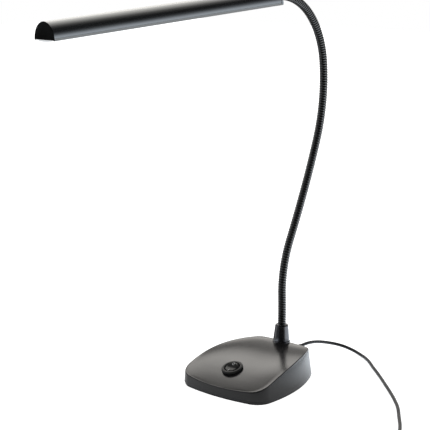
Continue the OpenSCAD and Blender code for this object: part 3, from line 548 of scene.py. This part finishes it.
# the lower edge's rounding and the groove, as (height over the bottom, drawn in by)
edge = [(-0.6, 0.5), (-0.55, 0.25), (-0.4, 0.1), (-0.15, 0.0), (1.7, 0.0), (1.8, GROOVE), (2.4, GROOVE),
        (GROOVE_TOP, 0.0)]
right_edge = [(HALF_WIDTH * math.sqrt(1 - (z / BAR_HEIGHT) ** 2) - inset, BOTTOM + z) for z, inset in edge]
left_edge = [(-x, z) for x, z in right_edge[::-1]]
over = half_ellipse(HALF_WIDTH, BAR_HEIGHT, math.asin(GROOVE_TOP / BAR_HEIGHT))[1:-1]
inside = half_ellipse(HALF_WIDTH - WALL, BAR_HEIGHT - WALL)[::-1]
shelf = [(-11.5, -2.3), (11.5, -2.3), (11.5, -1.1), (-11.5, -1.1)]
housing = drawn_in_bar("bar_extrusion", [right_edge + over + left_edge + inside, shelf], 7.8, 324.3, 30)
bar_black = material("bar_black", (0.215, 0.22, 0.222), 0.17, metal=1.0, grain=0.2, scale=300, vary=0.04,
                     dent=0.000004, streak=(6, 0.15, 6))
part(housing, "light_bar", "bar_black", bar_black, "light_housing")

# ---- End caps: moulded covers that plug into the extrusion's ends, the front one in black ABS, the rear
# one a thin trim lacquered silver grey, with a black gasket between it and the extrusion.
CAP_CORNER = 1.3


def cap_ring(y, grow, bow=1.5, low=-0.6):
    """A cap's outline at y: the housing's, grown, with round lower corners and a bowed bottom."""
    width = HALF_WIDTH + grow
    low = BOTTOM + low - grow * 0.5
    left = []
    for angle in (20, 40, 60, 75):
        s, c = math.sin(math.radians(angle)), math.cos(math.radians(angle))
        left.append((CAP_CORNER * (1 - c) - width, low + CAP_CORNER * (1 - s)))
    middle = [((width - CAP_CORNER) * t, low - bow * (1 - t * t)) for t in (i / 12 - 1 for i in range(1, 24))]
    line = half_ellipse(width, BAR_HEIGHT + grow) + left + middle + [(-x, z) for x, z in left[::-1]]
    return [Vector((x, -y, z)) for x, z in line]


front_levels = [(321.5, -1.6), (324.3, -1.6), (324.32, 0.05), (324.6, 0.05), (324.8, -0.06), (324.95, -0.3),
                (325.0, -0.6)]
front_rings = [cap_ring(y, grow, bow=0.2, low=0.3) for y, grow in front_levels]
front_cap = finished("end_cap_front", rolled(front_rings), 40, bar_place)
cap_black = material("cap_black", (0.002, 0.002, 0.0018), 0.4, spec=0.05, grain=0.2, scale=900, vary=0.1)
part(front_cap, "light_bar", "cap_black", cap_black, "front_cap")
rear_levels = [(4.0, -1.4), (4.05, -0.8), (4.2, -0.42), (4.55, -0.12), (5.0, 0.0), (7.0, 0.0), (7.15, -0.15)]
rear_cap = finished("end_cap_rear", rolled([cap_ring(y, grow) for y, grow in rear_levels]), 40, bar_place)
cap_grey = material("cap_grey", (0.26, 0.27, 0.275), 0.25, metal=1.0, grain=0.15, scale=500, vary=0.1)
part(rear_cap, "light_bar", "cap_black", cap_grey, "rear_cap")
gasket = drawn("cap_gasket", [cap_ring(7.0, -0.5, bow=1.0)], (0, -1.2, 0), place=bar_place)
part(gasket, "light_bar", "cap_black", cap_black)

# ---- Neck's end in the bar: a threaded steel end on the gooseneck, turned and painted gloss black where
# it shows, that goes through the rear cap, with a zinc-plated nut behind it.
ferrule_profile = [(1.9, 0.0), (3.8, 0.0), (4.2, 0.3), (4.2, 4.02), (1.9, 4.02)]
ferrule_place = bar_place @ Matrix.Rotation(math.radians(90), 4, "X")
ferrule = turned("neck_end_ferrule", ferrule_profile, 40, ferrule_place, 35)
part(ferrule, "light_bar", "plated_steel", collar_black, "neck_head_ferrule")
dress(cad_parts["head_nut"], steel)

# ---- Light source: thirty warm LEDs on a white solder-masked board, screwed up to the shelf, with thin
# PVC-covered wires back to the gooseneck. They keep the shapes of their solids.
board_white = material("board_white", (0.78, 0.79, 0.77), 0.4, grain=0.2, scale=900, vary=0.04)
dress(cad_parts["led_board"], board_white)
led_yellow = material("led_yellow", (0.85, 0.68, 0.16), 0.35, grain=0.2, scale=1500, vary=0.08)
dress(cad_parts["leds"], led_yellow)
wire_grey = material("wire_grey", (0.5, 0.5, 0.51), 0.5, grain=0.2, scale=1200, vary=0.1)
dress(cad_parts["head_leads"], wire_grey)
dress(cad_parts["board_screws"], steel)

# ---- Diffuser: an extruded strip of milk-white acrylic that slides into the housing's lower edges and
# bows a little below them.
LENS_HALF = 11.05
LENS_BOW = 1.5
lens_ways = [1 - i / 14 for i in range(29)]
lens_top = [(LENS_HALF * t, BOTTOM + 1.3) for t in lens_ways]
lens_low = [(LENS_HALF * t, BOTTOM - 0.3 - LENS_BOW * (1 - t * t)) for t in lens_ways[::-1]]
diffuser = drawn_in_bar("diffuser", [lens_top + lens_low], 8.4, 324.25)
lens_white = material("lens_white", (0.86, 0.88, 0.9), 0.4, spec=0.4, grain=0.1, scale=1800, vary=0.02,
                      dent=0.00002)
part(diffuser, "light_bar", "lens_milk", lens_white, "lens")

# ---- Cord: one length of thin round two-core lead in soft black PVC, moulded to its plug-in supply. It
# leaves the rear of the base and lies round the base to the front right. What the photograph doesn't
# show of it is wound into a coil of eleven turns.
CORD_D = 3.6
CORD_SIDES = 14
CORD_LIE = 1.85  # the height of its middle on the floor
EXIT = Vector((0, 59.4126, 17.6))
EXIT_LEAN = math.radians(5.343)
RELIEF_LENGTH = 27
COIL_CENTRE = Vector((250, -72, 0))
COIL_START = 203.6
COIL_OUTER = 24.075
COIL_PITCH = 4.3
COIL_LIE = 2.9
COIL_TURNS = 11
COIL_STEPS = 48
SUPPLY_DISTANCE = 40  # from the coil to the supply's strain relief
SUPPLY_ENTRY = Vector((0, 0, 14))


def smooth_line(points, steps=5):
    """A Catmull-Rom line through the points, steps to an interval."""
    line = []
    p = [Vector(q) for q in points]
    for i in range(len(p) - 1):
        a = p[i - 1] if i else 2 * p[0] - p[1]
        d = p[i + 2] if i + 2 < len(p) else 2 * p[-1] - p[-2]
        b, c = p[i], p[i + 1]
        for t in (k / steps for k in range(steps)):
            line.append(0.5 * (2 * b + (c - a) * t + (2 * a - 5 * b + 4 * c - d) * t * t
                               + (3 * b - 3 * c + d - a) * t ** 3))
    return line + [p[-1]]


def coil_at(turns):
    """The coil so many turns in: layers of three turns, wound inwards and outwards by turns."""
    layer = math.floor(turns / 3 + 0.0001)
    wound = turns - 3 * layer
    spiral = min(wound, 2.5) * COIL_PITCH
    r = COIL_OUTER - spiral if layer % 2 == 0 else COIL_OUTER - 2.5 * COIL_PITCH + spiral
    a = math.radians(COIL_START + 360 * turns)
    z = COIL_LIE + COIL_PITCH * (layer + max(0, wound - 2.5) / 0.5)
    return COIL_CENTRE + Vector((r * math.cos(a), r * math.sin(a), z))


def round_skin(line, radius, sides):
    """A round skin along a line of points."""
    rings = []
    side = Vector((0, 0, 1))
    for i, p in enumerate(line):
        ahead = (line[min(i + 1, len(line) - 1)] - line[max(i - 1, 0)]).normalized()
        side = (side - ahead * side.dot(ahead)).normalized()
        up = ahead.cross(side)
        turns = [math.tau * k / sides for k in range(sides)]
        rings.append([p + radius * (side * math.cos(turn) + up * math.sin(turn)) for turn in turns])
    return rolled(rings)


cord_start = EXIT + RELIEF_LENGTH * Vector((0, math.cos(EXIT_LEAN), math.sin(EXIT_LEAN)))
falling = [(0, 97, 20.2), (0, 108, 19.1), (0.3, 117.5, 17.3), (1, 127.5, 14.7), (3, 137, 11.8),
           (7.7, 145.7, 8.9), (15.7, 150.3, 6.5), (26.5, 151, 4.2), (38.5, 147.9, 2.5)]
lying = [(48.6, 143), (60.6, 133.6), (73.6, 121.4), (87.6, 108.8), (101.6, 95.8), (115.1, 82.8),
         (129.1, 69.3), (143.6, 54.8), (152.2, 45.6), (160.8, 36.1), (169.8, 24.5), (178, 12.8),
         (186.5, 1), (194.5, -10.5), (201.8, -22.5), (208.4, -35)]
rising = [(214.2, -48, 1.9), (219.4, -60.2, 2.4), coil_at(0)]
route = smooth_line([cord_start, *falling, *((x, y, CORD_LIE) for x, y in lying), *rising])
coil = [coil_at(i / COIL_STEPS) for i in range(1, COIL_TURNS * COIL_STEPS + 1)]
tail_turn = math.radians(COIL_START + 90)
tail_way = Vector((math.cos(tail_turn), math.sin(tail_turn), 0))
coil_end = coil[-1]
supply_face = Vector((coil_end.x, coil_end.y, 0)) + tail_way * SUPPLY_DISTANCE
tail = smooth_line([
    coil_end, coil_end + tail_way * 13,
    coil_end + tail_way * 26 + (SUPPLY_ENTRY - Vector((0, 0, coil_end.z))) / 2,
    *(supply_face + SUPPLY_ENTRY + tail_way * reach for reach in (0, 15, 30))])[1:]
cord_line = route + coil + tail
cord = finished("cord", round_skin(cord_line, CORD_D / 2, CORD_SIDES), 60)
cord_black = material("cord_black", (0.007, 0.007, 0.008), 0.42, spec=0.25, grain=0.25, scale=1400,
                      vary=0.12, dent=0.00003)
part(cord, "base", "cord_black", cord_black, "power_cord", "cord_coil", "cord_tail")

# ---- Cord tie: a strap of thin black woven tape, drawn round the coil and closed on itself. Fine ribs
# run across it, and its edges are rounded.
TIE_CORNER = 1.6
TIE_TURN = math.radians(COIL_START - 180)
tie_left = COIL_OUTER - 2.5 * COIL_PITCH - 1.7 - 1
tie_right = COIL_OUTER + 1.7 + 0.3
tie_low = 1.0
tie_high = COIL_LIE + 3 * COIL_PITCH + 1.7 + 0.3
tie_place = Matrix.Translation(COIL_CENTRE) @ Matrix.Rotation(TIE_TURN, 4, "Z")


def tie_ring(grow, across):
    """The strap's loop, with its corners rounded, grown outwards, so far across its width."""
    left, right = tie_left + TIE_CORNER, tie_right - TIE_CORNER
    low, high = tie_low + TIE_CORNER, tie_high - TIE_CORNER
    loop = []
    for x, z, angle in ((right, high, 0), (left, high, 90), (left, low, 180), (right, low, 270)):
        loop += arc(x, z, TIE_CORNER + grow, angle, angle + 90)
    return [Vector((x, across, z)) for x, z in loop]


# half of the tape's section, as (thickness reached, across its width), and its mirror
tape = [(0.12, -3.6), (0.3, -4.0), (0.62, -4.0), (0.78, -3.6), (0.78, -1.2), (0.74, 0)]
tape += [(grow, -across) for grow, across in tape[-2::-1]]
tie_rings = [tie_ring(*step) for step in tape + tape[:1]]
tie = finished("cord_strap", rolled(tie_rings, open_ends=True), 40, tie_place)
tie_fabric = material("tie_fabric", (0.018, 0.018, 0.02), 0.8, spec=0.2, grain=0.9, scale=1600, vary=0.2,
                      dent=0.0001, streak=(1, 1, 6))
part(tie, "base", "cord_black", tie_fabric, "cord_tie")

# ---- Strain reliefs: soft black PVC sleeves moulded on the cord, one in the rear of the base and one in
# the supply. Each tapers over cross grooves, so that it bends evenly, and two flanges hold it in its wall.
SLEEVE_BORE = 1.72
SUPPLY_RELIEF = 20
FIRST_GROOVE = 3.4


def relief_profile(r0, r1, length, foot, grooves):
    """A sleeve's profile from radius r0 to r1 over its length, with a foot inside the wall."""
    profile = [(SLEEVE_BORE, foot), (3.0, foot), (3.0, 0.1), (4.1, 0.1), (4.4, 0.4), (4.4, 1.1), (4.1, 1.4)]
    pitch = (length - FIRST_GROOVE - 3.0) / grooves

    def outer(z):
        return r0 + (r1 - r0) * z / length

    profile.append((outer(1.7), 1.7))
    for g in range(grooves):
        z = FIRST_GROOVE + pitch * g
        far = z + 0.62 * pitch
        deep = 0.62 * (1 - 0.35 * g / grooves)
        profile += [(outer(z), z), (outer(z) - 0.12, z + 0.12), (outer(z) - deep, z + 0.3),
                    (outer(z) - deep, far - 0.3), (outer(z) - 0.12, far - 0.12), (outer(z), far)]
    return profile + [(outer(length - 0.6), length - 0.6), (r1 - 0.22, length - 0.15), (SLEEVE_BORE, length)]


relief_black = material("relief_black", (0.008, 0.008, 0.009), 0.45, spec=0.3, grain=0.3, scale=1200,
                        vary=0.1, dent=0.00003)
exit_place = Matrix.Translation(EXIT) @ Matrix.Rotation(EXIT_LEAN - math.radians(90), 4, "X")
relief = turned("cord_sleeve", relief_profile(3.5, 2.3, RELIEF_LENGTH, -1.9, 6), 40, exit_place, 50)
part(relief, "base", "cord_black", relief_black, "cord_relief")
supply_place = Matrix.Translation(supply_face + tail_way * SUPPLY_RELIEF) @ Matrix.Rotation(tail_turn, 4, "Z")
entry_place = supply_place @ Matrix.Translation(SUPPLY_ENTRY) @ Matrix.Rotation(math.radians(-90), 4, "Y")
supply_sleeve = turned("supply_sleeve", relief_profile(3.6, 2.2, SUPPLY_RELIEF, -1.8, 5), 40, entry_place, 50)
part(supply_sleeve, "base", "supply_black", relief_black, "supply_relief")

# ---- Plug-in supply: a case of two flame-retardant ABS mouldings in grained black, welded at a fine
# parting line round a small board, with two flat nickel-plated pins moulded into its far end.
SUPPLY_LENGTH, SUPPLY_WIDTH, SUPPLY_HEIGHT = 56, 38, 28
SUPPLY_SPLIT = 15.68
SUPPLY_CORNER = 5
PARTING = 0.35  # the small bevel on each side of the parting line


def supply_half(name, z0, z1, low_round, high_round):
    """Half of the case: a block with its corners and its rims rounded."""
    bm = bmesh.new()
    middle = Matrix.Translation((SUPPLY_LENGTH / 2, 0, (z0 + z1) / 2))
    block = Matrix.Diagonal((SUPPLY_LENGTH, SUPPLY_WIDTH, z1 - z0, 1))
    bmesh.ops.create_cube(bm, size=1, matrix=middle @ block)
    upright = [e for e in bm.edges if abs(e.verts[0].co.z - e.verts[1].co.z) > 1]
    bmesh.ops.bevel(bm, geom=upright, offset=SUPPLY_CORNER, offset_type="OFFSET", segments=7, profile=0.5,
                    affect="EDGES", material=-1)
    for z, size in ((z0, low_round), (z1, high_round)):
        rim = [e for e in bm.edges if all(abs(v.co.z - z) < 0.001 for v in e.verts)]
        bmesh.ops.bevel(bm, geom=rim, offset=size, offset_type="OFFSET", segments=1 if size == PARTING else 6,
                        profile=0.5, affect="EDGES", material=-1)
    return finished(name, bm, 30, supply_place)


supply_black = material("supply_black", (0.014, 0.014, 0.015), 0.5, spec=0.45, grain=0.8, scale=1500,
                        vary=0.08, dent=0.00004)
supply_low = supply_half("supply_shell", 0, SUPPLY_SPLIT, 2.2, PARTING)
part(supply_low, "base", "supply_black", supply_black, "supply_case")
supply_high = supply_half("supply_cover", SUPPLY_SPLIT, SUPPLY_HEIGHT, PARTING, 2.6)
part(supply_high, "base", "supply_black", supply_black, "supply_lid")
dress(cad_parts["supply_pins"], steel)
board_green = material("board_green", (0.03, 0.14, 0.06), 0.4, grain=0.2, scale=900, vary=0.1)
dress(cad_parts["supply_board"], board_green)

# ---- Floor: a matt white sheet, lit evenly. Mirrored in the lamp it is white round the lamp and brightest
# close to its rear, and dark well in front of it and to its left. From below it isn't there, so that the
# underside can be looked at.
WHITE = (1, 1, 1, 1)
floor_mesh = bmesh.new()
bmesh.ops.create_grid(floor_mesh, x_segments=1, y_segments=1, size=4000)
floor = finished("floor", floor_mesh)
floor_white = bpy.data.materials.new("floor")
floor_white.use_nodes = True
tree = floor_white.node_tree
plain = tree.nodes["Principled BSDF"]
plain.inputs["Base Color"].default_value = (0.8, 0.8, 0.8, 1)
plain.inputs["Roughness"].default_value = 0.9
plain.inputs["Specular IOR Level"].default_value = 0.0


def worked(tree, operation, a, b, clamp=False):
    """A value worked out from two, each a number or another node's output."""
    node = wired(tree, "ShaderNodeMath", {0: a, 1: b})
    node.operation = operation
    node.use_clamp = clamp
    return node.outputs[0]


def slanted(tree, axes, by_x, by_y):
    """How far out a point or a way is, so much by its X and so much by its Y."""
    x, y = worked(tree, "MULTIPLY", axes["X"], by_x), worked(tree, "MULTIPLY", axes["Y"], by_y)
    return worked(tree, "ADD", x, y)


def past(tree, value, edge, steepness):
    """0 up to an edge and 1 well past it."""
    return worked(tree, "MULTIPLY", worked(tree, "SUBTRACT", value, edge), steepness, clamp=True)


def glow(tree, color, strength):
    """A light of a colour and a strength."""
    return wired(tree, "ShaderNodeEmission", {"Color": color, "Strength": strength}).outputs[0]


def both(tree, a, b):
    """Two shaders' light together."""
    return wired(tree, "ShaderNodeAddShader", {0: a, 1: b}).outputs[0]


def either(tree, factor, a, b):
    """Shader a where the factor is 0 and shader b where it is 1."""
    return wired(tree, "ShaderNodeMixShader", {0: factor, 1: a, 2: b}).outputs[0]


where = tree.nodes.new("ShaderNodeTexCoord").outputs["Object"]
axes = wired(tree, "ShaderNodeSeparateXYZ", {0: where}).outputs
dark_front = past(tree, slanted(tree, axes, 0.3, -0.95), 0.03, 4.0)
leftwards = worked(tree, "MULTIPLY", axes["X"], -1.0)
dark_left = worked(tree, "MULTIPLY", past(tree, leftwards, 0.02, 20.0), past(tree, axes["Y"], 0.0, 20.0))
not_far = past(tree, worked(tree, "SUBTRACT", 0.55, axes["Y"]), 0.0, 4.0)
behind = worked(tree, "MULTIPLY", past(tree, axes["Y"], 0.02, 8.0), not_far)
rear_strength = worked(tree, "ADD", worked(tree, "MULTIPLY", behind, 1.3), 0.12)
lit = both(tree, plain.outputs[0], glow(tree, (0.9, 1.0, 1.1, 1), rear_strength))
in_gloss = either(tree, worked(tree, "MAXIMUM", dark_front, dark_left), lit, glow(tree, WHITE, 0.035))
ray = tree.nodes.new("ShaderNodeLightPath").outputs
lifted = both(tree, plain.outputs[0], glow(tree, WHITE, 0.72))
seen = either(tree, ray["Is Camera Ray"], plain.outputs[0], lifted)
not_straight = worked(tree, "MAXIMUM", ray["Is Glossy Ray"], ray["Is Transmission Ray"])
from_above = either(tree, not_straight, seen, in_gloss)
clear = tree.nodes.new("ShaderNodeBsdfTransparent").outputs[0]
backfacing = tree.nodes.new("ShaderNodeNewGeometry").outputs["Backfacing"]
tree.links.new(either(tree, backfacing, from_above, clear), tree.nodes["Material Output"].inputs["Surface"])
dress(floor, floor_white)

# ---- Studio: even white light all round. What the lamp mirrors is white up to the horizon, dark over it
# and towards the camera, with a large soft panel high at the rear left.
world = bpy.data.worlds.new("studio")
bpy.context.scene.world = world
world.use_nodes = True
tree = world.node_tree
even = tree.nodes["Background"]
even.inputs["Color"].default_value = WHITE
even.inputs["Strength"].default_value = 1.0


def ramp(tree, source, stops):
    """A grey value that follows the stops as the source goes from 0 to 1."""
    node = tree.nodes.new("ShaderNodeValToRGB")
    bar = node.color_ramp
    bar.interpolation = "EASE"
    while len(bar.elements) > 1:
        bar.elements.remove(bar.elements[-1])
    bar.elements[0].position = stops[0][0]
    bar.elements[0].color = (stops[0][1],) * 3 + (1,)
    for at, value in stops[1:]:
        bar.elements.new(at).color = (value,) * 3 + (1,)
    tree.links.new(source, node.inputs["Fac"])
    return node.outputs["Color"]


def sky(tree, color, strength):
    """A background of a colour and a strength."""
    return wired(tree, "ShaderNodeBackground", {"Color": color, "Strength": strength}).outputs[0]


# the way that a mirrored ray goes: its height, its turn round the lamp, and how far towards the camera
where = tree.nodes.new("ShaderNodeTexCoord").outputs["Generated"]
way = wired(tree, "ShaderNodeSeparateXYZ", {0: where}).outputs
turn = worked(tree, "ADD", worked(tree, "DIVIDE", worked(tree, "ARCTAN2", way["Y"], way["X"]), math.tau), 0.5)
toward = worked(tree, "ADD", worked(tree, "MULTIPLY", slanted(tree, way, 0.643, -0.766), 0.5), 0.5)
horizon = ramp(tree, way["Z"], [(0.0, 1.0), (0.14, 0.98), (0.22, 0.5), (0.3, 0.2), (0.38, 0.06), (0.45, 0.02),
                                (1.0, 0.02)])
front = ramp(tree, toward, [(0.0, 1.2), (0.4, 1.3), (0.6, 1.3), (0.76, 1.1), (0.87, 0.3), (0.94, 0.08),
                            (1.0, 0.04)])
panel_height = ramp(tree, way["Z"], [
    (0.1, 0.0), (0.18, 0.08), (0.25, 0.16), (0.31, 0.09), (0.42, 0.07), (0.48, 0.08), (0.54, 0.16),
    (0.6, 0.46), (0.65, 0.52), (0.69, 0.5), (0.73, 0.5), (0.78, 0.36), (0.85, 0.24), (1.0, 0.2)])
panel_turn = ramp(tree, turn, [
    (0.0, 0.5), (0.08, 0.0), (0.655, 0.0), (0.694, 0.1), (0.717, 0.28), (0.739, 0.5), (0.79, 0.85),
    (0.84, 1.0), (0.92, 1.0), (0.96, 0.8), (1.0, 0.5)])
panel = worked(tree, "MULTIPLY", worked(tree, "MULTIPLY", panel_height, panel_turn), 3.6)
low = worked(tree, "MULTIPLY", horizon, front)
warm_low = worked(tree, "MULTIPLY", low, panel_turn)
cool_sky = sky(tree, (0.92, 0.99, 1.07, 1), worked(tree, "SUBTRACT", low, warm_low))
warm_sky = sky(tree, (1.0, 0.965, 0.92, 1), worked(tree, "ADD", panel, warm_low))
glossy_ray = tree.nodes.new("ShaderNodeLightPath").outputs["Is Glossy Ray"]
look = either(tree, glossy_ray, even.outputs[0], both(tree, cool_sky, warm_sky))
tree.links.new(look, tree.nodes["World Output"].inputs["Surface"])
bpy.context.scene.view_settings.view_transform = "Standard"

# ---- Soft box: a large soft panel on a stand at the rear left, which only the gloss shows
BOX_WIDTH, BOX_HEIGHT = 1.7, 0.62
BOX_BRIGHTNESS = 1.7
box = bpy.data.lights.new("soft_box", "AREA")
box.shape = "RECTANGLE"
box.size, box.size_y = BOX_WIDTH, BOX_HEIGHT
box.energy = BOX_BRIGHTNESS * math.pi * BOX_WIDTH * BOX_HEIGHT
box.color = (1.0, 0.975, 0.93)
soft_box = bpy.data.objects.new("soft_box", box)
soft_box.location = (-0.93, 0.80, 1.08)
soft_box.rotation_euler = (soft_box.location - Vector((0, 0, 0.6))).to_track_quat("Z", "Y").to_euler()
soft_box.visible_diffuse = False
soft_box.visible_camera = False
soft_box.visible_transmission = False
bpy.context.scene.collection.objects.link(soft_box)
